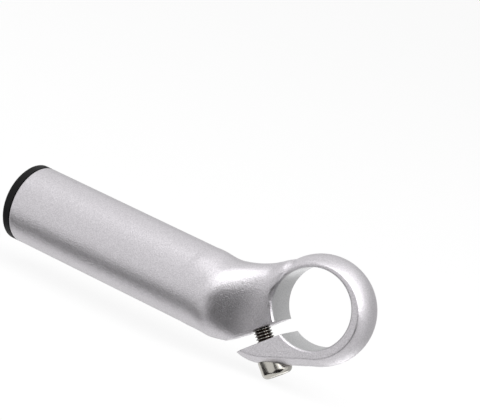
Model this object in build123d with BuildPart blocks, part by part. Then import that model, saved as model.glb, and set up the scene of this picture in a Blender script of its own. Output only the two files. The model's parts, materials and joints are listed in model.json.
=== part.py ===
from build123d import *
import os
from math import acos, atan2, copysign, cos, pi, radians, sin, sqrt, tan

# Bicycle bar end: a forged clamp ring and neck with a hollow grip, an end plug and a clamp bolt.
# Lengths are in millimetres and angles in degrees. The origin is the middle of the handlebar bore,
# +Y is the bore's axis towards the outer face, and the grip runs out along +X and leans to -Y.

# Handlebar clamp
bar_diameter = 22.2
clamp_width = 13.8
ring_wall = 4.05
ring_shift_x = -0.65
ring_shift_z = -0.55
land_width = 1.65
rim_chamfer = 0.45
cone_reach = 2.0

# Grip
grip_diameter = 22.2
grip_wall = 2.2
grip_length = 94.6
grip_lean = 13.0
grip_offset = 10.0
grip_drop = 6.6
grip_start = 33.0
cavity_depth = 52.0
drill_point = 118.0
grip_end_chamfer = 0.4

# Neck, whose sections are superellipses: boxy at the clamp and round at the grip
neck_root = 8.0
cheek_start = 11.0
cheek_slope = 29.5
cheek_round = 8.0
cheek_end = 28.0
back_slope = 1.5
back_round = 30.0
valley_radius = 26.0
foot_lift = 0.9
lift_start = 17.0
lift_end = 24.5
valley_dip = 0.6
dip_start = 23.0
dip_end = 31.0
neck_power = 6.0
neck_sections = 12
section_points = 24
neck_proud = 0.08
root_slope = 0.4
joint_sinks = (0.1, 0.4)
joint_step = 2.0

# Lower lug, flat at the sides and crowned below
belly_depth = 20.6
belly_round = 13.2
belly_place = 13.0
lug_inset = 0.06
lug_end = 18.5
lug_top = 4.0
lug_sections = 7
keel_height = 2.6

# Slot
slot_width = 3.7
slot_angle = -42.0
slot_drop = 1.4

# Clamp bolt, an M5 x 16 socket head cap screw, and its holes
bolt_reach = 17.65
bolt_diameter = 5.0
bolt_length = 16.0
head_diameter = 8.5
head_height = 5.0
head_edge = 0.7
socket_width = 4.0
socket_depth = 2.6
tip_chamfer = 0.8
thread_clearance = 0.05
shank_clearance = 0.25
head_clearance = 0.35
seat_thickness = 4.75
tapped_spare = 3.0

# End plug
plug_thickness = 2.6
plug_edge = 0.5
spigot_length = 11.0
spigot_wall = 1.6
spigot_clearance = 0.35
rib_clearance = 0.03
rib_width = 1.2
rib_count = 2

# What follows from them
bore_radius = bar_diameter / 2
half_width = clamp_width / 2
ring_radius = bore_radius + ring_wall
grip_radius = grip_diameter / 2
cavity_radius = grip_radius - grip_wall
lean = radians(grip_lean)
grip_top = grip_radius - grip_drop
grip_bottom = -grip_radius - grip_drop

grip_axis = Plane(
    origin=(0, grip_offset, -grip_drop), x_dir=(sin(lean), cos(lean), 0), z_dir=(cos(lean), -sin(lean), 0)
)
grip_section = Plane(
    origin=grip_axis.origin, x_dir=(cos(lean), -sin(lean), 0), z_dir=(sin(lean), cos(lean), 0)
)
grip_line = Axis(grip_axis.origin, grip_axis.z_dir)
grip_end = grip_axis.offset(grip_length)
slot = radians(slot_angle)
# Local x of this plane runs outwards along the slot, local y from the lower lug to the upper one.
slot_plane = Plane(origin=(0, 0, 0), x_dir=(cos(slot), 0, sin(slot)), z_dir=(0, -1, 0))
slot_floor = -slot_drop - slot_width / 2
seat_level = slot_floor - seat_thickness
bolt_foot = slot_plane.from_local_coords(Vector(bolt_reach, seat_level, 0))
bolt_direction = Vector(-sin(slot), 0, cos(slot))
bolt_plane = Plane(origin=bolt_foot, x_dir=(0, 1, 0), z_dir=bolt_direction)


def side_y(x, side):
    """Y of the neck at x on the near (+1) or far (-1) side: a slope from the clamp, an arc, the grip."""
    first_slope = radians(cheek_slope if side > 0 else back_slope)
    last_slope = -side * lean
    start = half_width - cheek_start * tan(first_slope)
    end = side * grip_offset + grip_radius / cos(lean)
    corner = (end - start) / (tan(first_slope) - tan(last_slope))
    turn = first_slope - last_slope
    radius = cheek_round if side > 0 else back_round
    reach = radius * tan(abs(turn) / 2)
    first = corner - reach * cos(first_slope)
    last = corner + reach * cos(last_slope)
    if x <= first:
        return side * (start + x * tan(first_slope))
    if x >= last:
        return side * (end + x * tan(last_slope))
    bend = copysign(radius, turn)
    centre_x = first + bend * sin(first_slope)
    centre_y = start + first * tan(first_slope) - bend * cos(first_slope)
    return side * (centre_y + copysign(sqrt(radius**2 - (x - centre_x) ** 2), turn))


def ease(x, start, end):
    """A smooth step from 0 at start to 1 at end."""
    share = min(max((x - start) / (end - start), 0), 1)
    return share * share * (3 - 2 * share)


def top_z(x):
    """Z of the neck's top at x: an arc that touches the ring, then a shallow dip, then the grip's top."""
    level = grip_top - valley_dip
    rise = level + valley_radius - ring_shift_z
    touch = ring_shift_x + sqrt((ring_radius + valley_radius) ** 2 - rise**2)
    arc = level + valley_radius - sqrt(valley_radius**2 - max(touch - x, 0) ** 2)
    return arc + valley_dip * ease(x, dip_start, dip_end)


def belly_z(x):
    """Z of the lower lug's underside at x: the line that touches the ring and an arc, then that arc."""
    if x < belly_place - belly_round * sin(belly_slope):
        return lug_foot_z - (x - lug_foot_x) * tan(belly_slope)
    return belly_centre_z - sqrt(belly_round**2 - (x - belly_place) ** 2)


def outline(half, top, bottom, power):
    """Points round a section, evenly turned: a superellipse, which is boxier the higher its power."""
    points = []
    for step in range(section_points):
        turn = 2 * pi * step / section_points
        reach = (abs(cos(turn)) ** power + abs(sin(turn)) ** power) ** (-1 / power)
        points.append((half * reach * cos(turn), (top + bottom + (top - bottom) * reach * sin(turn)) / 2))
    return points


def neck_station(share):
    """Near point, far point, top, bottom and power of the section a share of the way along the neck."""
    near_x = neck_root + share * (grip_near_x - neck_root)
    far_x = neck_root + share * (grip_far_x - neck_root)
    x = (near_x + far_x) / 2
    proud = neck_proud - root_slope * max(cheek_start - x, 0)
    foot = grip_bottom + foot_lift * (1 - ease(x, lift_start, lift_end))
    return (
        (near_x, side_y(near_x, 1) + neck_proud * share),
        (far_x, side_y(far_x, -1) - proud),
        top_z(x) + proud,
        foot - proud,
        neck_power + ease(x, cheek_start, cheek_end) * (2 - neck_power),
    )


def joint_station(reach, sink):
    """The same of a circle across the grip, sunk below the grip's surface."""
    middle = grip_axis.origin + grip_axis.z_dir * reach
    side = grip_axis.x_dir * (grip_radius - sink)
    near = (middle.X + side.X, middle.Y + side.Y)
    far = (middle.X - side.X, middle.Y - side.Y)
    return near, far, grip_top - sink, grip_bottom + sink, 2


# The line of the underside touches the ring's circle and the belly's arc.
belly_centre_z = belly_round - belly_depth
run = belly_place - ring_shift_x
fall = ring_shift_z - belly_centre_z
inset_radius = ring_radius - lug_inset
belly_slope = acos((inset_radius - belly_round) / sqrt(run**2 + fall**2)) - atan2(run, fall)
lug_foot_x = ring_shift_x - inset_radius * sin(belly_slope)
lug_foot_z = ring_shift_z - inset_radius * cos(belly_slope)

grip_near_x = grip_start * cos(lean) + grip_radius * sin(lean)
grip_far_x = grip_start * cos(lean) - grip_radius * sin(lean)
neck_stations = [neck_station(step / neck_sections) for step in range(neck_sections + 1)]
for number, sink in enumerate(joint_sinks):
    neck_stations.append(joint_station(grip_start + (number + 1) * joint_step, sink))

with BuildPart() as body:
    # Forged neck, from inside the ring to just inside the grip.
    for near, far, top, bottom, power in neck_stations:
        across = Vector(*near) - Vector(*far)
        middle = (Vector(*near) + Vector(*far)) / 2
        with BuildSketch(Plane(origin=middle, x_dir=across, z_dir=across.cross(Vector(0, 0, 1)))):
            with BuildLine():
                Spline(*outline(across.length / 2, top, bottom, power), periodic=True)
            make_face()
    loft()

    # The neck stops at the slot, and the lower lug lies beyond it.
    with BuildSketch(slot_plane):
        with Locations((bar_diameter, -slot_drop - bar_diameter)):
            Rectangle(4 * bar_diameter, 2 * bar_diameter)
    extrude(amount=grip_diameter, both=True, mode=Mode.SUBTRACT)
    for step in range(lug_sections + 1):
        x = lug_foot_x + step / lug_sections * (lug_end - lug_foot_x)
        with BuildSketch(Plane(origin=(x, 0, 0), x_dir=(0, 1, 0), z_dir=(1, 0, 0))):
            with BuildLine():
                keel = belly_z(x) + keel_height
                near = (half_width, keel)
                far = (-half_width, keel)
                Polyline(near, (half_width, lug_top), (-half_width, lug_top), far)
                ThreePointArc(far, (0, belly_z(x)), near)
            make_face()
    loft()

    # Clamp ring with its crowned outside, a little off centre so that it is thickest opposite the neck.
    with BuildSketch(Plane(origin=(ring_shift_x, 0, ring_shift_z), x_dir=(1, 0, 0), z_dir=(0, 0, 1))):
        with BuildLine():
            land_radius = bore_radius + land_width
            Line((0, -half_width), (land_radius, -half_width))
            ThreePointArc((land_radius, -half_width), (ring_radius, 0), (land_radius, half_width))
            Polyline((land_radius, half_width), (0, half_width), (0, -half_width))
        make_face()
    revolve(axis=Axis((ring_shift_x, 0, ring_shift_z), (0, 1, 0)))

    # Round grip with the edge of its open end broken.
    with BuildSketch(grip_section):
        with BuildLine():
            Polyline(
                (grip_start + neck_proud, 0),
                (grip_start + neck_proud, grip_radius),
                (grip_length - grip_end_chamfer, grip_radius),
                (grip_length, grip_radius - grip_end_chamfer),
                (grip_length, 0),
                close=True,
            )
        make_face()
    revolve(axis=grip_line)

    # Machining: handlebar bore, slot, holes of the bolt, hollow of the grip.
    with BuildSketch(Plane.XZ):
        Circle(bore_radius)
    extrude(amount=clamp_width, both=True, mode=Mode.SUBTRACT)
    with BuildSketch(slot_plane):
        with Locations((bar_diameter, -slot_drop)):
            Rectangle(2 * bar_diameter, slot_width)
    extrude(amount=grip_diameter, both=True, mode=Mode.SUBTRACT)
    with BuildSketch(bolt_plane):
        Circle(head_diameter / 2 + head_clearance)
    extrude(amount=-2 * head_height, mode=Mode.SUBTRACT)
    with BuildSketch(bolt_plane):
        Circle(bolt_diameter / 2 + shank_clearance)
    extrude(amount=seat_thickness + slot_width / 2, mode=Mode.SUBTRACT)
    with BuildSketch(bolt_plane.offset(seat_thickness)):
        Circle(bolt_diameter / 2 + thread_clearance)
    extrude(amount=bolt_length - seat_thickness + tapped_spare, mode=Mode.SUBTRACT)
    with BuildSketch(grip_section):
        with BuildLine():
            cavity_end = grip_length - cavity_depth
            Polyline(
                (cavity_end - cavity_radius / tan(radians(drill_point / 2)), 0),
                (cavity_end, cavity_radius),
                (grip_length - grip_end_chamfer, cavity_radius),
                (grip_length + cone_reach, cavity_radius + grip_end_chamfer + cone_reach),
                (grip_length + cone_reach, 0),
                close=True,
            )
        make_face()
    revolve(axis=grip_line, mode=Mode.SUBTRACT)

    # Broken edges at the mouths of the bore, cut by a cone.
    for side in (1, -1):
        foot = half_width - rim_chamfer
        with BuildSketch(Plane.XY):
            with BuildLine():
                Polyline(
                    (bore_radius - cone_reach, side * (foot - cone_reach)),
                    (bore_radius + cone_reach, side * (foot + cone_reach)),
                    (bore_radius - cone_reach, side * (foot + cone_reach)),
                    close=True,
                )
            make_face()
        revolve(axis=Axis.Y, mode=Mode.SUBTRACT)

body.part.label = "bar_end_body"

with BuildPart() as plug:
    # Cap over the grip's end.
    with BuildSketch(grip_end):
        Circle(grip_radius)
    extrude(amount=plug_thickness)
    rim = plug.faces().sort_by(grip_line)[-1].edges()
    chamfer(rim, plug_edge)
    # Hollow spigot with gripping ribs.
    with BuildSketch(grip_end):
        Circle(cavity_radius - spigot_clearance)
        Circle(cavity_radius - spigot_clearance - spigot_wall, mode=Mode.SUBTRACT)
    extrude(amount=-spigot_length)
    for rib in range(rib_count):
        with BuildSketch(grip_end.offset(-(rib + 1) * spigot_length / (rib_count + 1))):
            Circle(cavity_radius - rib_clearance)
            Circle(cavity_radius - spigot_clearance - spigot_wall, mode=Mode.SUBTRACT)
        extrude(amount=-rib_width)

plug.part.label = "end_plug"

with BuildPart() as bolt:
    with BuildSketch(bolt_plane):
        Circle(bolt_diameter / 2)
    extrude(amount=bolt_length)
    tip = bolt.faces().sort_by(Axis(bolt_foot, bolt_direction))[-1]
    chamfer(tip.edges(), tip_chamfer)
    with BuildSketch(bolt_plane):
        Circle(head_diameter / 2)
    extrude(amount=-head_height)
    crown_face = bolt.faces().sort_by(Axis(bolt_foot, bolt_direction))[0]
    chamfer(crown_face.edges(), head_edge)
    with BuildSketch(bolt_plane.offset(-head_height)):
        RegularPolygon(radius=socket_width / 2, side_count=6, major_radius=False)
    extrude(amount=socket_depth, mode=Mode.SUBTRACT)

bolt.part.label = "clamp_bolt"

os.makedirs("parts", exist_ok=True)
export_step(body.part, "parts/bar_end_body.step")
export_step(plug.part, "parts/end_plug.step")
export_step(bolt.part, "parts/clamp_bolt.step")
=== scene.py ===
"""Looks of a bicycle bar end: blasted and anodised body, black end plug and a plated clamp bolt."""

import json

import bpy
import numpy as np
from bpy.props import FloatProperty, FloatVectorProperty, IntProperty, PointerProperty
from mathutils import Matrix, Vector


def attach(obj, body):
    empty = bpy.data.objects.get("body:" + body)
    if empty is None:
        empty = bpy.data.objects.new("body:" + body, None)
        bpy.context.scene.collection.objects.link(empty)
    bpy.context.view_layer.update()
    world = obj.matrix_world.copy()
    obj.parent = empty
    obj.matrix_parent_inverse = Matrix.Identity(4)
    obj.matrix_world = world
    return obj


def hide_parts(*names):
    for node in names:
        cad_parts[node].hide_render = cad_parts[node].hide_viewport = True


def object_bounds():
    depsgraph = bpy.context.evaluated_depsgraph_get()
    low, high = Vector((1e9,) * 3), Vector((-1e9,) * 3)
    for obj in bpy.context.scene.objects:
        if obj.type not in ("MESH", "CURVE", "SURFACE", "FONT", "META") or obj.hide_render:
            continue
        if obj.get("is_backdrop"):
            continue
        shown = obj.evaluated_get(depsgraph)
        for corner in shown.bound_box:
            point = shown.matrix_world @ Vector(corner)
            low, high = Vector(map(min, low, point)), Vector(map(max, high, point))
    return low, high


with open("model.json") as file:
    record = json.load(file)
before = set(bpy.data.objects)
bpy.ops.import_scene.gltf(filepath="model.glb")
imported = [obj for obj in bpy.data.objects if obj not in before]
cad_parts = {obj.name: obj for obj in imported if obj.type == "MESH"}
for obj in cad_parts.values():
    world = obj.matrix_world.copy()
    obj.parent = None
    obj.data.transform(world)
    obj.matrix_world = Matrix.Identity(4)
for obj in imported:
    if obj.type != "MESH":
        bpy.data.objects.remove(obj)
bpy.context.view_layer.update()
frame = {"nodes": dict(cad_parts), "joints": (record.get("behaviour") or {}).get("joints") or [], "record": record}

bl_info = {
    "name": "Bicycle bar end",
    "version": (1, 0, 0),
    "blender": (4, 5, 0),
    "location": "3D View > Sidebar > Bar end",
    "description": "Finishes a packed bicycle bar end and sets a plain stage for it",
    "category": "Object",
}

MM = 0.001

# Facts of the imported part, in metres.
turn_joint = frame["joints"][0]
bolt_seat = np.array(turn_joint["pos_m"], float)
bolt_axis = np.array(turn_joint["axis"], float)
bolt_axis /= np.linalg.norm(bolt_axis)
clamp_mount = frame["record"]["mounts"][0]
bore_radius = clamp_mount["dims"]["r_mm"] * MM
grip_level = frame["record"]["mounts"][1]["pos_m"][2]
RING_HALF_WIDTH = 6.9 * MM

# How near a point of the solid has to be to count as lying on a plane, and how finely points are joined.
CLOSE = 0.01 * MM
JOIN_DECIMALS = 8

# Where the top of the neck runs into the ring, along X and Z, and how far from there the fillet's radius
# begins to change and is that of the other edges.
NECK_FILLET = (8 * MM, 13.5 * MM)
NECK_FILLET_REACH = (4 * MM, 9 * MM)

# The distance along X over which the softening of the neck comes and goes, and the shares of the way from a
# section's middle to its outline between which a point passes from the inside to the skin.
NECK_RUN_IN = 4 * MM
NECK_SKIN = (0.6, 0.9)

# The far upper corner of the lug stands a little out of the neck's rounding and is pressed onto it. The
# rounding starts at nothing on the lug's edge, and at the lug's end it is so deep along Y and so tall.
LUG_CORNER = (18.5 * MM, -RING_HALF_WIDTH, 4.0 * MM)
LUG_ROUND_START = 14 * MM
LUG_ROUND_DEPTH = 2.01 * MM
LUG_ROUND_HEIGHT = 3.78 * MM
LUG_ROUND_POWER = 1.45
LUG_ROUND_GROWTH = 1.6

# How far the cheek beside the slot slopes from the ring's near face, in radians, where along X it starts, and
# the two stretches along X over which the slope that its shading shows grows, by a half each.
CHEEK_SLOPE = np.radians(29.5)
CHEEK_START = 10.9 * MM
CHEEK_LEANS = ((4 * MM, 8 * MM), (14 * MM, 21 * MM))

# Plain cards a metre from the part's middle: name, azimuth and elevation in degrees, width and height in
# metres, and grey. Dark ones show in the cheek, under the ring's belly and along the grip, a bright one
# along the ring's lower edge, and a grey one on the part's other side.
CARD_DISTANCE = 1.0
CARDS = (
    ("cheek_card", 134, -13, 1.45, 1.15, 0.03),
    ("belly_card", 76, -42, 0.7, 0.28, 0.03),
    ("grip_card", 27, -46, 1.0, 0.44, 0.05),
    ("table_card", -106, -35, 0.4, 0.3, 2.6),
    ("back_card", -105, -4, 2.3, 1.5, 0.6),
)

# Square lamps: name, place from the part's middle and width in metres, and the setting that has the power.
LAMPS = (
    ("key_lamp", (-0.25, 0.35, 0.75), 1.3, "key_power"),
    ("rim_lamp", (-0.76, 0.13, 0.49), 0.35, "rim_power"),
)

# How much of the floor's surface is plain white to the eye. The rest takes the part's shadow.
FLOOR_GLOW = 0.88

# The camera that took the photograph, found from the part's outlines and given in the part's own frame.
IMAGE_WIDTH = 480
CAMERA_PLACE = Vector((-0.23366, 0.75161, 0.14250))
CAMERA_FORWARD = Vector((0.32733, -0.93182, -0.15672))
CAMERA_RIGHT = Vector((-0.87346, -0.36166, 0.32600))
CAMERA_FOCUS_PIXELS = 3000.0
SENSOR_WIDTH_MM = 36.0


def linear(hex_colour):
    """An sRGB hex colour as linear red, green, blue and alpha."""
    code = hex_colour.lstrip("#")
    srgb = np.array([int(code[i:i + 2], 16) for i in (0, 2, 4)]) / 255
    rgb = np.where(srgb <= 0.04045, srgb / 12.92, ((srgb + 0.055) / 1.055) ** 2.4)
    return (*[float(c) for c in rgb], 1.0)


def metres(name, description, default):
    """A setting that is a length."""
    return FloatProperty(
        name=name, description=description, subtype="DISTANCE", unit="LENGTH", default=default
    )


def colour(name, description, hex_colour):
    """A setting that is a colour."""
    return FloatVectorProperty(
        name=name, description=description, subtype="COLOR", size=4, min=0, max=1,
        default=linear(hex_colour),
    )


def number(name, description, default, least=0, most=1, unit="NONE"):
    """A setting that is a number between two others."""
    return FloatProperty(
        name=name, description=description, min=least, max=most, unit=unit, default=default
    )


class BarEndFinish(bpy.types.PropertyGroup):
    """Colours and textures of the metal and the plastic."""

    aluminium: colour("Aluminium", "Colour of the blasted and anodised aluminium", "#CDCACE")
    machined: colour("Machined bore", "Colour of the bored and anodised wall of the clamp", "#CFCFD0")
    blast_roughness: number("Blasted roughness", "Roughness of the blasted surface", 0.36)
    bore_roughness: number("Bored roughness", "Roughness of the clamp's bored wall", 0.34)
    # The dimples are drawn coarser than the real grit leaves them, so that they show.
    grain: metres("Blasting grain", "Size of the dimples", 0.35 * MM)
    turned_lines: metres("Turned lines", "Distance between the turned lines in the bore", 0.592 * MM)
    forged_round: metres("Forged edges", "Radius at the edges of the forging", 0.7 * MM)
    bored_round: metres("Bored edges", "Radius that blasting leaves on the edges of the bore", 0.25 * MM)
    neck_fillet: metres("Neck fillet", "Radius of the fillet where the neck runs into the ring", 3 * MM)
    plastic: colour("Plug", "Colour of the moulded plug", "#0B0B0C")
    plating: colour("Plating", "Colour of the bolt's bright plating", "#B9B6AF")
    # Painted shade: the thread's roots are darkened towards this colour by how deep they lie, in place of the
    # shade that falls there.
    painted_root_shade: colour("Thread roots", "Colour of the dark oil in the roots of the thread", "#241C17")


class BarEndBolt(bpy.types.PropertyGroup):
    """Sizes of the M5 socket head cap screw."""

    diameter: metres("Thread diameter", "Outer diameter of the thread", 5 * MM)
    pitch: metres("Pitch", "Distance between turns of the thread", 0.8 * MM)
    length: metres("Length", "Length under the head", 16 * MM)
    head_diameter: metres("Head diameter", "Diameter of the head", 8.5 * MM)
    head_height: metres("Head height", "Height of the head", 5 * MM)
    head_round: metres("Head rounding", "Radius at the head's outer edge", 1.5 * MM)
    socket_width: metres("Socket", "Width across the flats of the hexagon socket", 4 * MM)
    socket_depth: metres("Socket depth", "Depth of the hexagon socket", 2.6 * MM)
    tip_chamfer: metres("Tip chamfer", "Chamfer at the end of the thread", 0.8 * MM)
    facets: IntProperty(
        name="Facets", description="Faces round the bolt, a multiple of six", min=24, max=192, default=96
    )


class BarEndNeck(bpy.types.PropertyGroup):
    """How softly the forging's shoulder is rounded."""

    start: metres("Start", "Distance from the clamp's axis at which the softening begins", 10.6 * MM)
    end: metres("End", "Distance from the clamp's axis at which the grip begins", 30 * MM)
    boxiness: number("Boxiness", "Power of the solid's sections at the clamp", 6, 2, 10)
    softness: number("Softness", "Share of that boxiness that is taken away", 0.65)


class BarEndStage(bpy.types.PropertyGroup):
    """Floor, lamps and background."""

    floor: colour("Floor", "Colour of the plain floor", "#F4F4F4")
    floor_width: metres("Floor width", "Width of the floor", 8.0)
    key_power: number("Key lamp", "Power of the large lamp overhead", 8.5, most=100, unit="POWER")
    rim_power: number("Rim lamp", "Power of the small lamp beside the clamp", 1.6, most=100, unit="POWER")
    sky_strength: number("Sky", "Strength of the even light from all round", 0.62, most=2)


def ease(values, start, end):
    """A smooth step: three times the square less twice the cube of the share of the way from start to end."""
    share = np.clip((values - start) / (end - start), 0, 1)
    return share * share * (3 - 2 * share)


def normalised(vectors):
    """Vectors brought to a length of one."""
    return vectors / np.linalg.norm(vectors, axis=1, keepdims=True)


def superellipse(turn, power):
    """How far a superellipse of unit half axes reaches: the powers of cosine and sine, added and rooted."""
    return (np.abs(np.cos(turn)) ** power + np.abs(np.sin(turn)) ** power) ** (-1 / power)


def read_mesh(mesh):
    """A mesh's points, the point that each face corner uses, and the direction shown at each corner."""
    points = np.empty(len(mesh.vertices) * 3)
    mesh.vertices.foreach_get("co", points)
    corners = np.empty(len(mesh.loops), int)
    mesh.loops.foreach_get("vertex_index", corners)
    normals = np.empty(len(mesh.loops) * 3)
    mesh.corner_normals.foreach_get("vector", normals)
    return points.reshape(-1, 3), corners, normals.reshape(-1, 3)


def neck_outline(points, neck):
    """The neck's near side, far side and top at places along X, as the solid's points give them."""
    step, half_slice = 1.5 * MM, 1.2 * MM
    place = np.arange(neck.start - 2 * MM, neck.end + 6 * MM, step)
    slices = [points[np.abs(points[:, 0] - x) < half_slice] for x in place]
    near = np.array([part[:, 1].max() for part in slices])
    far = np.array([part[:, 1].min() for part in slices])
    top = np.array([part[:, 2].max() for part in slices])
    return place, near, far, top


def soften_neck(points, neck, outline):
    """Draws the upper corners of the neck in, as a forging die leaves them.

    A section across X is taken as a superellipse about its middle. Its power falls smoothly from the
    boxiness at the clamp to 2 at the grip. A point of the skin in the upper half keeps its direction from
    the middle, and its distance is multiplied by the reach of a rounder superellipse over that of the
    present one. Points well inside the skin, and all beyond the neck's two ends, stay.
    """
    place, near, far, top = outline
    x, y, z = points.T
    middle = (np.interp(x, place, near) + np.interp(x, place, far)) / 2
    half = (np.interp(x, place, near) - np.interp(x, place, far)) / 2
    rise = np.interp(x, place, top) - grip_level
    across, up = (y - middle) / half, (z - grip_level) / rise
    turn = np.arctan2(up, across)
    power = neck.boxiness + ease(x, neck.start, neck.end) * (2 - neck.boxiness)
    rounder = 2 + (power - 2) * (1 - neck.softness)
    present = superellipse(turn, power)
    skin = ease(np.hypot(across, up) / present, *NECK_SKIN) * (up > 0)
    stretch = ease(x, neck.start, neck.start + NECK_RUN_IN) * (1 - ease(x, neck.end, neck.end + NECK_RUN_IN))
    scale = 1 + skin * stretch * (superellipse(turn, rounder) / present - 1)
    return np.column_stack([x, middle + (y - middle) * scale, grip_level + (z - grip_level) * scale])


def press_lug(points):
    """Presses the lug's far upper corner onto the neck, and says which points lie on that ledge.

    The corner between two planes is cut by a superellipse, whose two half axes grow with a power of the
    share of the way along X. A point of the ledge outside that curve is drawn in onto it, towards the
    curve's middle.
    """
    x, y, z = points.T
    end, back, top = LUG_CORNER
    least_share, slack, nearly_nothing = 0.001, 0.05, 1e-9
    share = np.clip((x - LUG_ROUND_START) / (end - LUG_ROUND_START), least_share, 1) ** LUG_ROUND_GROWTH
    deep, tall = LUG_ROUND_DEPTH * share, LUG_ROUND_HEIGHT * share
    across, up = (back + deep - y) / deep, (z - top + tall) / tall
    flush = (np.abs(x - end) < CLOSE) | (np.abs(y - back) < CLOSE) | (np.abs(z - top) < CLOSE)
    reached = (x > LUG_ROUND_START) & (x < end + CLOSE) & (y > back - CLOSE) & (z < top + CLOSE)
    ledge = flush & reached & (across > -slack) & (up > -slack)
    powers = np.clip(across, 0, None) ** LUG_ROUND_POWER + np.clip(up, 0, None) ** LUG_ROUND_POWER
    scale = (powers + nearly_nothing) ** (-1 / LUG_ROUND_POWER)
    scale = np.where(ledge & (scale < 1), scale, 1)
    pressed = np.column_stack([x, back + deep - across * scale * deep, top - tall + up * scale * tall])
    return pressed, ledge


def carried_normals(at, normals, neck, outline):
    """The directions shown on the softened neck: each is across the two tangents of the moved surface.

    The moved tangents are found by moving close neighbours of the corner, on both sides along two
    directions in the surface, through the same rule.
    """
    guide = np.where(np.abs(normals[:, 2:3]) < 0.7, (0.0, 0.0, 1.0), (1.0, 0.0, 0.0))
    first = normalised(np.cross(normals, guide))
    second = np.cross(normals, first)
    step = 0.02 * MM
    tangents = [
        soften_neck(at + step * tangent, neck, outline) - soften_neck(at - step * tangent, neck, outline)
        for tangent in (first, second)
    ]
    return normalised(np.cross(*tangents))


def lean_cheek(at, normals):
    """Turns the shading of the cheek, and of the land between it and the bore, about Z.

    The slope that they show grows with X from nothing on the ring, over half the cheek's slope on the land,
    to the whole of it. So the cheek runs softly into the ring, as on a forging.
    """
    x, y, z = at.T
    side, facing = normals[:, 0], normals[:, 1]
    straight, partly = 0.999, 0.3
    chamfer, near_side = 0.6 * MM, 4 * MM
    shown = CHEEK_SLOPE / 2 * sum(ease(x, *lean) for lean in CHEEK_LEANS)
    land = (facing > straight) & (y > RING_HALF_WIDTH - CLOSE)
    cheek = (x > CHEEK_START) & (facing > partly) & (np.hypot(x, z) > bore_radius + chamfer)
    stretch = (x > CHEEK_LEANS[0][0]) & (x < CHEEK_LEANS[1][1])
    above_slot = (y > near_side) & (at @ bolt_axis > 0)
    angle = np.where(stretch & above_slot & (land | cheek), shown - np.where(land, 0, CHEEK_SLOPE), 0)
    across = side * np.cos(angle) - facing * np.sin(angle)
    outwards = side * np.sin(angle) + facing * np.cos(angle)
    return np.column_stack([across, outwards, normals[:, 2]])


def mean_directions(points, index, chosen):
    """The mean direction of the triangles round the point of each chosen corner, by their areas."""
    ends = points[index].reshape(-1, 3, 3)
    facing = np.repeat(np.cross(ends[:, 1] - ends[:, 0], ends[:, 2] - ends[:, 0]), 3, axis=0)
    total = np.zeros_like(points)
    np.add.at(total, index, facing)
    return normalised(total[index[chosen]])


def softened_body(node, neck):
    """A joined copy of the body's mesh: neck softened, lug pressed, and the smooth shading carried along."""
    points, corners, normals = read_mesh(node.data)
    points, on_ledge = press_lug(points)
    ledge = np.repeat(on_ledge[corners].reshape(-1, 3).all(axis=1), 3)
    outline = neck_outline(points, neck)
    at = points[corners]
    shown = lean_cheek(at, carried_normals(at, normals, neck, outline))

    rounded = np.round(soften_neck(points, neck, outline), JOIN_DECIMALS)
    joined, index = np.unique(rounded, axis=0, return_inverse=True)
    index = index.ravel()[corners]
    shown[ledge] = mean_directions(joined, index, ledge)
    faces = index.reshape(-1, 3)
    whole = (faces != np.roll(faces, 1, axis=1)).all(axis=1)
    mesh = bpy.data.meshes.new("forged_body")
    mesh.from_pydata(joined.tolist(), [], faces[whole].tolist())
    mesh.shade_smooth()
    mesh.normals_split_custom_set(shown.reshape(-1, 3, 3)[whole].reshape(-1, 3).tolist())
    return mesh


def polar_hexagon(angle, width):
    """Radius at an angle of a hexagon: half its width over the cosine of the angle to the nearest flat."""
    sixth = np.pi / 3
    return width / 2 / np.cos((angle + sixth / 2) % sixth - sixth / 2)


def thread_rows(bolt, angle):
    """Places along the thread, with the radius and how deep the surface lies in a root at each angle.

    The radius is the outer one less the thread's depth times a trapezoid wave of the phase, which is the
    place along the axis over the pitch, less the share of a turn. The wave rises over the first turn, and a
    cone cuts the tip.
    """
    start = 0.6 * MM
    rows_a_turn = 12
    depth = 0.61 * bolt.pitch
    root_level, flank_slope = 1.5, 3.6
    shank_radius = bolt.diameter / 2
    count = int((bolt.length - start) / bolt.pitch * rows_a_turn) + 1
    along = np.linspace(start, bolt.length, count)
    place = along[:, None]
    phase = (place / bolt.pitch - angle[None, :] / (2 * np.pi)) % 1
    wave = np.clip(root_level - np.abs(phase - 0.5) * flank_slope, 0, 1)
    root = wave * np.clip((place - start) / bolt.pitch, 0, 1)
    cone = shank_radius - bolt.tip_chamfer + (bolt.length - place)
    return along, np.minimum(shank_radius - depth * root, cone), root


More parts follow.
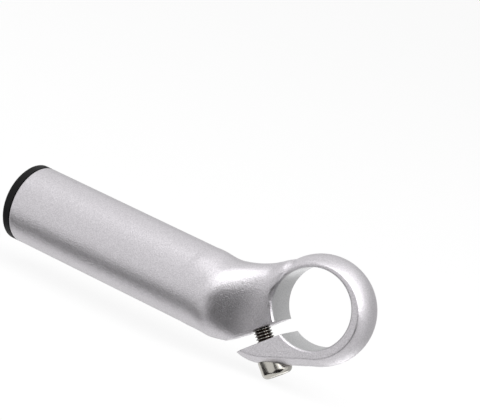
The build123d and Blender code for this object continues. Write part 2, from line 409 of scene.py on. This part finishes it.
def screw_grid(bolt):
    """Points of the screw on a grid of rows along it and columns round it, and how deep each lies in a root.

    Each row has a place along the axis and a radius at every angle. The rows run from the middle of the
    socket's floor, up its six walls, over the head's rounded edge, under the head and down the thread to the
    tip.
    """
    angle = np.linspace(0, 2 * np.pi, bolt.facets, endpoint=False)
    one = np.ones_like(angle)
    head_radius = bolt.head_diameter / 2
    shank_radius = bolt.diameter / 2
    hexagon = polar_hexagon(angle, bolt.socket_width)
    mouth, lip, drill_point = 0.15 * MM, 0.12 * MM, 0.5 * MM
    rounding_rows = 9
    top = -bolt.head_height
    floor = top + bolt.socket_depth

    rows = [(floor + drill_point, 0 * one), (floor, hexagon), (top + mouth, hexagon), (top, hexagon + mouth)]
    rows.append((top, (hexagon + mouth + head_radius - bolt.head_round) / 2))
    for turn in np.linspace(0, np.pi / 2, rounding_rows):
        down, inwards = bolt.head_round * (1 - np.cos(turn)), bolt.head_round * (1 - np.sin(turn))
        rows.append((top + down, (head_radius - inwards) * one))
    rows += [(-2 * lip, head_radius * one), (-lip, head_radius * one), (0.0, (head_radius - lip) * one)]
    rows += [(0.0, (shank_radius + 2 * lip) * one), (lip, (shank_radius + lip / 2) * one)]
    along, thread_radii, thread_root = thread_rows(bolt, angle)

    place = np.concatenate([[row[0] for row in rows], along, [bolt.length]])
    radii = np.concatenate([[row[1] for row in rows], thread_radii, [0 * one]])
    root = np.zeros_like(radii)
    root[len(rows):-1] = thread_root

    upright = np.array((0, 1, 0.0))
    across = np.cross(bolt_axis, upright)
    spokes = np.cos(angle)[None, :, None] * across + np.sin(angle)[None, :, None] * upright
    points = bolt_seat + place[:, None, None] * bolt_axis + radii[:, :, None] * spokes
    return points, root


def on_poles(grid):
    """The values of a grid as a list in which each of its two end rows is one value."""
    inner = grid[1:-1].reshape(-1, *grid.shape[2:])
    return np.concatenate([grid[0, :1], inner, grid[-1, :1]])


def mesh_from_grid(name, points):
    """A mesh from a grid of points, rows by columns, joined round each row. Each end row is a single pole."""
    rows, columns = points.shape[:2]
    index = 1 + np.arange((rows - 2) * columns).reshape(rows - 2, columns)
    left = np.roll(index, 1, axis=1)
    pole = np.zeros(columns, int)
    faces = np.stack([index[:-1], left[:-1], left[1:], index[1:]], axis=-1).reshape(-1, 4).tolist()
    faces += np.stack([pole, left[0], index[0]], axis=-1).tolist()
    faces += np.stack([index[-1], left[-1], pole + index[-1, -1] + 1], axis=-1).tolist()
    mesh = bpy.data.meshes.new(name)
    mesh.from_pydata(on_poles(points).tolist(), [], faces)
    return mesh


def add_node(tree, kind, settings=None, values=None, links=None):
    """Adds a node of a kind with its settings, its input values and the sockets linked to its inputs."""
    made = tree.nodes.new(kind)
    for name, value in (settings or {}).items():
        setattr(made, name, value)
    for name, value in (values or {}).items():
        made.inputs[name].default_value = value
    for name, source in (links or {}).items():
        tree.links.new(source, made.inputs[name])
    return made


def new_material(name):
    """An empty node material."""
    material = bpy.data.materials.new(name)
    material.use_nodes = True
    material.node_tree.nodes.clear()
    return material, material.node_tree


def fine_noise(tree, place, size, detail, roughness=0.5):
    """Even noise in space with grains of a size."""
    noise = add_node(
        tree, "ShaderNodeTexNoise", {"noise_dimensions": "3D"},
        {"Scale": 1 / size, "Detail": detail, "Roughness": roughness}, {"Vector": place},
    )
    return noise.outputs["Fac"]


def remap(tree, value, old, new, curve="LINEAR"):
    """A value carried from between two ends to between two others, and held there."""
    carried = add_node(
        tree, "ShaderNodeMapRange", {"clamp": True, "interpolation_type": curve},
        {"From Min": old[0], "From Max": old[1], "To Min": new[0], "To Max": new[1]}, {"Value": value},
    )
    return carried.outputs["Result"]


def bumped(tree, height, strength, distance, base=None):
    """The direction of a surface with a relief on it, on top of a base direction if there is one."""
    bump = add_node(
        tree, "ShaderNodeBump", values={"Strength": strength, "Distance": distance}, links={"Height": height}
    )
    if base is not None:
        tree.links.new(base, bump.inputs["Normal"])
    return bump.outputs["Normal"]


def finish_material(tree, values, links):
    """The shader of a material with its values and links, joined to the output."""
    shader = add_node(tree, "ShaderNodeBsdfPrincipled", values=values, links=links)
    add_node(tree, "ShaderNodeOutputMaterial", links={"Surface": shader.outputs["BSDF"]})


def rounded_edges(tree, finish, flat, radius):
    """The direction of the forging's surface, with its edges rounded.

    The bored edge is crisp and the forged ones are rounder, by the distance from the bore's axis. The neck
    runs into the ring in a wide fillet, by the distance from the line where they meet.
    """
    bored_to, forged_from = bore_radius + 0.5 * MM, bore_radius + 1.2 * MM
    edges = remap(tree, radius, old=(bored_to, forged_from), new=(finish.bored_round, finish.forged_round))
    meeting = add_node(
        tree, "ShaderNodeVectorMath", {"operation": "DISTANCE"},
        {1: (NECK_FILLET[0], 0.0, NECK_FILLET[1])}, {0: flat},
    )
    away = remap(tree, meeting.outputs["Value"], old=NECK_FILLET_REACH, new=(0, 1), curve="SMOOTHSTEP")
    edge_radius = add_node(
        tree, "ShaderNodeMix", {"data_type": "FLOAT"}, {"A": finish.neck_fillet}, {"Factor": away, "B": edges}
    )
    rounded = add_node(
        tree, "ShaderNodeBevel", {"samples": 8}, links={"Radius": edge_radius.outputs["Result"]}
    )
    return rounded.outputs["Normal"]


def blasted_aluminium(finish):
    """Aluminium, forged, bead-blasted and clear anodised: silky grey, finely sparkling, with a bored wall."""
    material, tree = new_material("blasted_anodised_aluminium")
    place = add_node(tree, "ShaderNodeTexCoord").outputs["Object"]
    grains = fine_noise(tree, place, size=finish.grain, detail=2.0, roughness=0.6)

    # The bored wall lies within a hair of the bore's radius about the Y axis.
    parts = add_node(tree, "ShaderNodeSeparateXYZ", links={"Vector": place})
    flat = add_node(
        tree, "ShaderNodeCombineXYZ", links={"X": parts.outputs["X"], "Z": parts.outputs["Z"]}
    ).outputs["Vector"]
    radius = add_node(
        tree, "ShaderNodeVectorMath", {"operation": "LENGTH"}, links={"Vector": flat}
    ).outputs["Value"]
    bored = remap(tree, radius, old=(bore_radius + 0.05 * MM, bore_radius + 0.1 * MM), new=(1, 0))

    tone = add_node(
        tree, "ShaderNodeMix", {"data_type": "RGBA"}, {"A": finish.aluminium, "B": finish.machined},
        {"Factor": bored},
    )
    sparkle = remap(tree, grains, old=(0.35, 0.65), new=(0.84, 1.06))
    speckled = add_node(
        tree, "ShaderNodeVectorMath", {"operation": "SCALE"},
        links={"Vector": tone.outputs["Result"], "Scale": sparkle},
    )

    # Turned lines run round the bore, so they are bands along Y. At a scale of one the texture's waves are
    # two pi over twenty apart.
    lines = add_node(
        tree, "ShaderNodeTexWave", {"wave_type": "BANDS", "bands_direction": "Y", "wave_profile": "SIN"},
        {"Scale": 2 * np.pi / 20 / finish.turned_lines, "Distortion": 0.6, "Detail": 1.0}, {"Vector": place},
    )
    relief = add_node(
        tree, "ShaderNodeMix", {"data_type": "FLOAT"},
        links={"Factor": bored, "A": grains, "B": lines.outputs["Fac"]},
    ).outputs["Result"]
    edges = rounded_edges(tree, finish, flat, radius)
    finish_material(tree, {"Metallic": 1.0}, {
        "Base Color": speckled.outputs["Vector"],
        "Roughness": remap(tree, bored, old=(0, 1), new=(finish.blast_roughness, finish.bore_roughness)),
        "Normal": bumped(tree, relief, strength=0.7, distance=0.14 * MM, base=edges),
    })
    return material


def moulded_polyethylene(finish):
    """Polyethylene, moulded and dull black: an even matt skin with a faint grain and no sheen."""
    material, tree = new_material("moulded_black_polyethylene")
    place = add_node(tree, "ShaderNodeTexCoord").outputs["Object"]
    grain = fine_noise(tree, place, size=0.4 * MM, detail=3.0)
    finish_material(tree, {"Base Color": finish.plastic, "Specular IOR Level": 0.15}, {
        "Roughness": remap(tree, grain, old=(0.3, 0.7), new=(0.50, 0.62)),
        "Normal": bumped(tree, grain, strength=0.15, distance=0.03 * MM),
    })
    return material


def plated_steel(finish):
    """Steel, cold formed and bright plated: a hard mirror on the head, and painted shade darkening the thread's
    roots.
    """
    material, tree = new_material("bright_plated_steel")
    root = add_node(tree, "ShaderNodeAttribute", {"attribute_name": "root", "attribute_type": "GEOMETRY"})
    place = add_node(tree, "ShaderNodeTexCoord").outputs["Object"]
    smears = fine_noise(tree, place, size=1.5 * MM, detail=3.0)
    # Painted shade: the plating runs into the dark root colour as deep as the surface lies in a thread root.
    tone = add_node(
        tree, "ShaderNodeMix", {"data_type": "RGBA"}, {"A": finish.plating, "B": finish.painted_root_shade},
        {"Factor": root.outputs["Fac"]},
    )
    finish_material(tree, {"Metallic": 1.0}, {
        "Base Color": tone.outputs["Result"],
        "Roughness": remap(tree, smears, old=(0.3, 0.7), new=(0.14, 0.24)),
        "Normal": bumped(tree, smears, strength=0.05, distance=0.03 * MM),
    })
    return material


def add_object(name, data):
    """An object with its data, in the scene."""
    made = bpy.data.objects.new(name, data)
    bpy.context.scene.collection.objects.link(made)
    return made


def finished_object(name, mesh, body, material):
    """A mesh as a piece that rides on a body and has a material."""
    piece = add_object(name, mesh)
    mesh.materials.append(material)
    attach(piece, body)
    return piece


class BAREND_OT_body(bpy.types.Operator):
    """Finishes the forged body in blasted and anodised aluminium"""

    bl_idname = "barend.body"
    bl_label = "Body"

    def execute(self, context):
        mesh = softened_body(frame["nodes"]["bar_end_body"], context.scene.bar_end_neck)
        piece = finished_object(
            "forged_body", mesh, "bar_end",
            blasted_aluminium(context.scene.bar_end_finish),
        )
        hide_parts("bar_end_body")
        return {"FINISHED"}


class BAREND_OT_plug(bpy.types.Operator):
    """Finishes the end plug in moulded black plastic"""

    bl_idname = "barend.plug"
    bl_label = "End plug"

    def execute(self, context):
        plug = frame["nodes"]["end_plug"]
        plug.data.materials.clear()
        plug.data.materials.append(moulded_polyethylene(context.scene.bar_end_finish))
        return {"FINISHED"}


class BAREND_OT_bolt(bpy.types.Operator):
    """Makes the clamp bolt with its thread, rounded head and hexagon socket"""

    bl_idname = "barend.bolt"
    bl_label = "Clamp bolt"

    def execute(self, context):
        points, root = screw_grid(context.scene.bar_end_bolt)
        mesh = mesh_from_grid("clamp_screw", points)
        # How deep each point lies in a thread root: the mask of the painted shade in the roots.
        depth = mesh.attributes.new("root", "FLOAT", "POINT")
        depth.data.foreach_set("value", on_poles(root).astype(np.float32))
        mesh.shade_smooth()
        mesh.set_sharp_from_angle(angle=np.radians(40))
        piece = finished_object(
            "clamp_screw", mesh, "bolt", plated_steel(context.scene.bar_end_finish)
        )
        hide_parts("clamp_bolt")
        return {"FINISHED"}


def shown_ray(tree):
    """One for a ray from the eye, a reflection or a see-through surface, and nought for any other."""
    path = add_node(tree, "ShaderNodeLightPath")
    seen = add_node(
        tree, "ShaderNodeMath", {"operation": "MAXIMUM"},
        links={0: path.outputs["Is Camera Ray"], 1: path.outputs["Is Glossy Ray"]},
    )
    shown = add_node(
        tree, "ShaderNodeMath", {"operation": "MAXIMUM"},
        links={0: seen.outputs[0], 1: path.outputs["Is Transmission Ray"]},
    )
    return shown.outputs[0]


def pale_surface(name, board_colour):
    """A plain pale board: it takes the part's shadow, and shows near white to the eye."""
    material, tree = new_material(name)
    board = add_node(tree, "ShaderNodeBsdfDiffuse", values={"Color": board_colour})
    glow = add_node(tree, "ShaderNodeEmission", values={"Color": (1, 1, 1, 1), "Strength": 1.0})
    share = add_node(
        tree, "ShaderNodeMath", {"operation": "MULTIPLY"}, {1: FLOOR_GLOW}, {0: shown_ray(tree)}
    )
    surface = add_node(
        tree, "ShaderNodeMixShader", links={0: share.outputs[0], 1: board.outputs[0], 2: glow.outputs[0]}
    )
    add_node(tree, "ShaderNodeOutputMaterial", links={"Surface": surface.outputs[0]})
    return material


def add_board(name, placing, width, height, material):
    """A flat rectangular board about the middle of a placing."""
    w, h = width / 2, height / 2
    corners = [placing @ Vector((x, y, 0)) for x, y in ((-w, -h), (w, -h), (w, h), (-w, h))]
    mesh = bpy.data.meshes.new(name)
    mesh.from_pydata(corners, [], [(0, 1, 2, 3)])
    mesh.materials.append(material)
    return add_object(name, mesh)


def plain_card(target, name, azimuth, elevation, width, height, grey):
    """A card that faces the target and shows in reflections alone, as is set up round bright metal."""
    turn, lift = np.radians(azimuth), np.radians(elevation)
    away = Vector((np.cos(lift) * np.cos(turn), np.cos(lift) * np.sin(turn), np.sin(lift)))
    place = Matrix.Translation(target + CARD_DISTANCE * away)
    material, tree = new_material(name)
    cloth = add_node(tree, "ShaderNodeEmission", values={"Color": (1, 1, 1, 1), "Strength": grey})
    add_node(tree, "ShaderNodeOutputMaterial", links={"Surface": cloth.outputs[0]})
    material.cycles.emission_sampling = "NONE"
    facing = away.to_track_quat("Z", "Y").to_matrix().to_4x4()
    card = add_board(name, place @ facing, width, height, material)
    card.visible_camera = card.visible_diffuse = card.visible_transmission = card.visible_shadow = False
    card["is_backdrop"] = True


def soft_lamp(target, name, offset, width, power):
    """A square lamp at an offset from the target, and pointed at it."""
    light = bpy.data.lights.new(name, "AREA")
    light.shape = "SQUARE"
    light.size = width
    light.energy = power
    offset = Vector(offset)
    facing = (-offset).to_track_quat("-Z", "Y").to_matrix().to_4x4()
    add_object(name, light).matrix_world = Matrix.Translation(target + offset) @ facing


def set_world(strength):
    """Even light from all round, and a white background to the eye and in reflections."""
    world = bpy.data.worlds.new("plain_white")
    bpy.context.scene.world = world
    world.use_nodes = True
    tree = world.node_tree
    tree.nodes.clear()
    light = add_node(tree, "ShaderNodeBackground", values={"Color": (1, 1, 1, 1), "Strength": strength})
    white = add_node(tree, "ShaderNodeBackground", values={"Color": (1, 1, 1, 1), "Strength": 1.0})
    surface = add_node(
        tree, "ShaderNodeMixShader", links={0: shown_ray(tree), 1: light.outputs[0], 2: white.outputs[0]}
    )
    add_node(tree, "ShaderNodeOutputWorld", links={"Surface": surface.outputs[0]})


def add_camera():
    """The camera at the photograph's place, with the photograph's field of view."""
    view = bpy.data.cameras.new("photo_camera")
    view.sensor_width = SENSOR_WIDTH_MM
    view.lens = CAMERA_FOCUS_PIXELS / IMAGE_WIDTH * SENSOR_WIDTH_MM
    view.clip_start, view.clip_end = 0.01, 50
    camera = add_object("photo_camera", view)
    back = -CAMERA_FORWARD.normalized()
    right = (CAMERA_RIGHT - CAMERA_RIGHT.dot(back) * back).normalized()
    up = back.cross(right)
    turn = Matrix((right, up, back)).transposed().to_4x4()
    camera.matrix_world = Matrix.Translation(CAMERA_PLACE) @ turn
    bpy.context.scene.camera = camera


class BAREND_OT_stage(bpy.types.Operator):
    """Sets the floor, the cards, the lamps, the background and the camera"""

    bl_idname = "barend.stage"
    bl_label = "Stage"

    def execute(self, context):
        stage = context.scene.bar_end_stage
        low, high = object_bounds()
        middle = (low + high) / 2
        below = Matrix.Translation((middle.x, middle.y, low.z))
        board = pale_surface("pale_board", stage.floor)
        floor = add_board("floor", below, stage.floor_width, stage.floor_width, board)
        floor.visible_glossy = False
        floor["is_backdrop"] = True
        for card in CARDS:
            plain_card(middle, *card)
        for name, offset, width, power in LAMPS:
            soft_lamp(middle, name, offset, width, getattr(stage, power))
        set_world(stage.sky_strength)
        add_camera()
        context.scene.view_settings.view_transform = "Standard"
        return {"FINISHED"}


class BAREND_PT_panel(bpy.types.Panel):
    """Lists the pieces of the bar end and their settings"""

    bl_idname = "BAREND_PT_panel"
    bl_label = "Bar end"
    bl_space_type = "VIEW_3D"
    bl_region_type = "UI"
    bl_category = "Bar end"

    def draw(self, context):
        layout = self.layout
        for operator in OPERATORS:
            layout.operator(operator.bl_idname)
        for settings in GROUPS:
            group = getattr(context.scene, settings)
            for name in group.bl_rna.properties.keys():
                if name not in ("rna_type", "name"):
                    layout.prop(group, name)


OPERATORS = (BAREND_OT_body, BAREND_OT_plug, BAREND_OT_bolt, BAREND_OT_stage)
GROUPS = {
    "bar_end_finish": BarEndFinish, "bar_end_neck": BarEndNeck, "bar_end_bolt": BarEndBolt,
    "bar_end_stage": BarEndStage,
}


def register():
    """Registers the classes and puts the settings on the scene."""
    for group in GROUPS.values():
        bpy.utils.register_class(group)
    for operator in OPERATORS:
        bpy.utils.register_class(operator)
    bpy.utils.register_class(BAREND_PT_panel)
    for name, group in GROUPS.items():
        setattr(bpy.types.Scene, name, PointerProperty(type=group))


def unregister():
    """Takes the settings and the classes away again."""
    for name in GROUPS:
        delattr(bpy.types.Scene, name)
    bpy.utils.unregister_class(BAREND_PT_panel)
    for operator in reversed(OPERATORS):
        bpy.utils.unregister_class(operator)
    for group in reversed(list(GROUPS.values())):
        bpy.utils.unregister_class(group)


def main():
    """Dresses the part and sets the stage."""
    register()
    bpy.ops.barend.body()
    bpy.ops.barend.plug()
    bpy.ops.barend.bolt()
    bpy.ops.barend.stage()


if __name__ == "__main__":
    main()
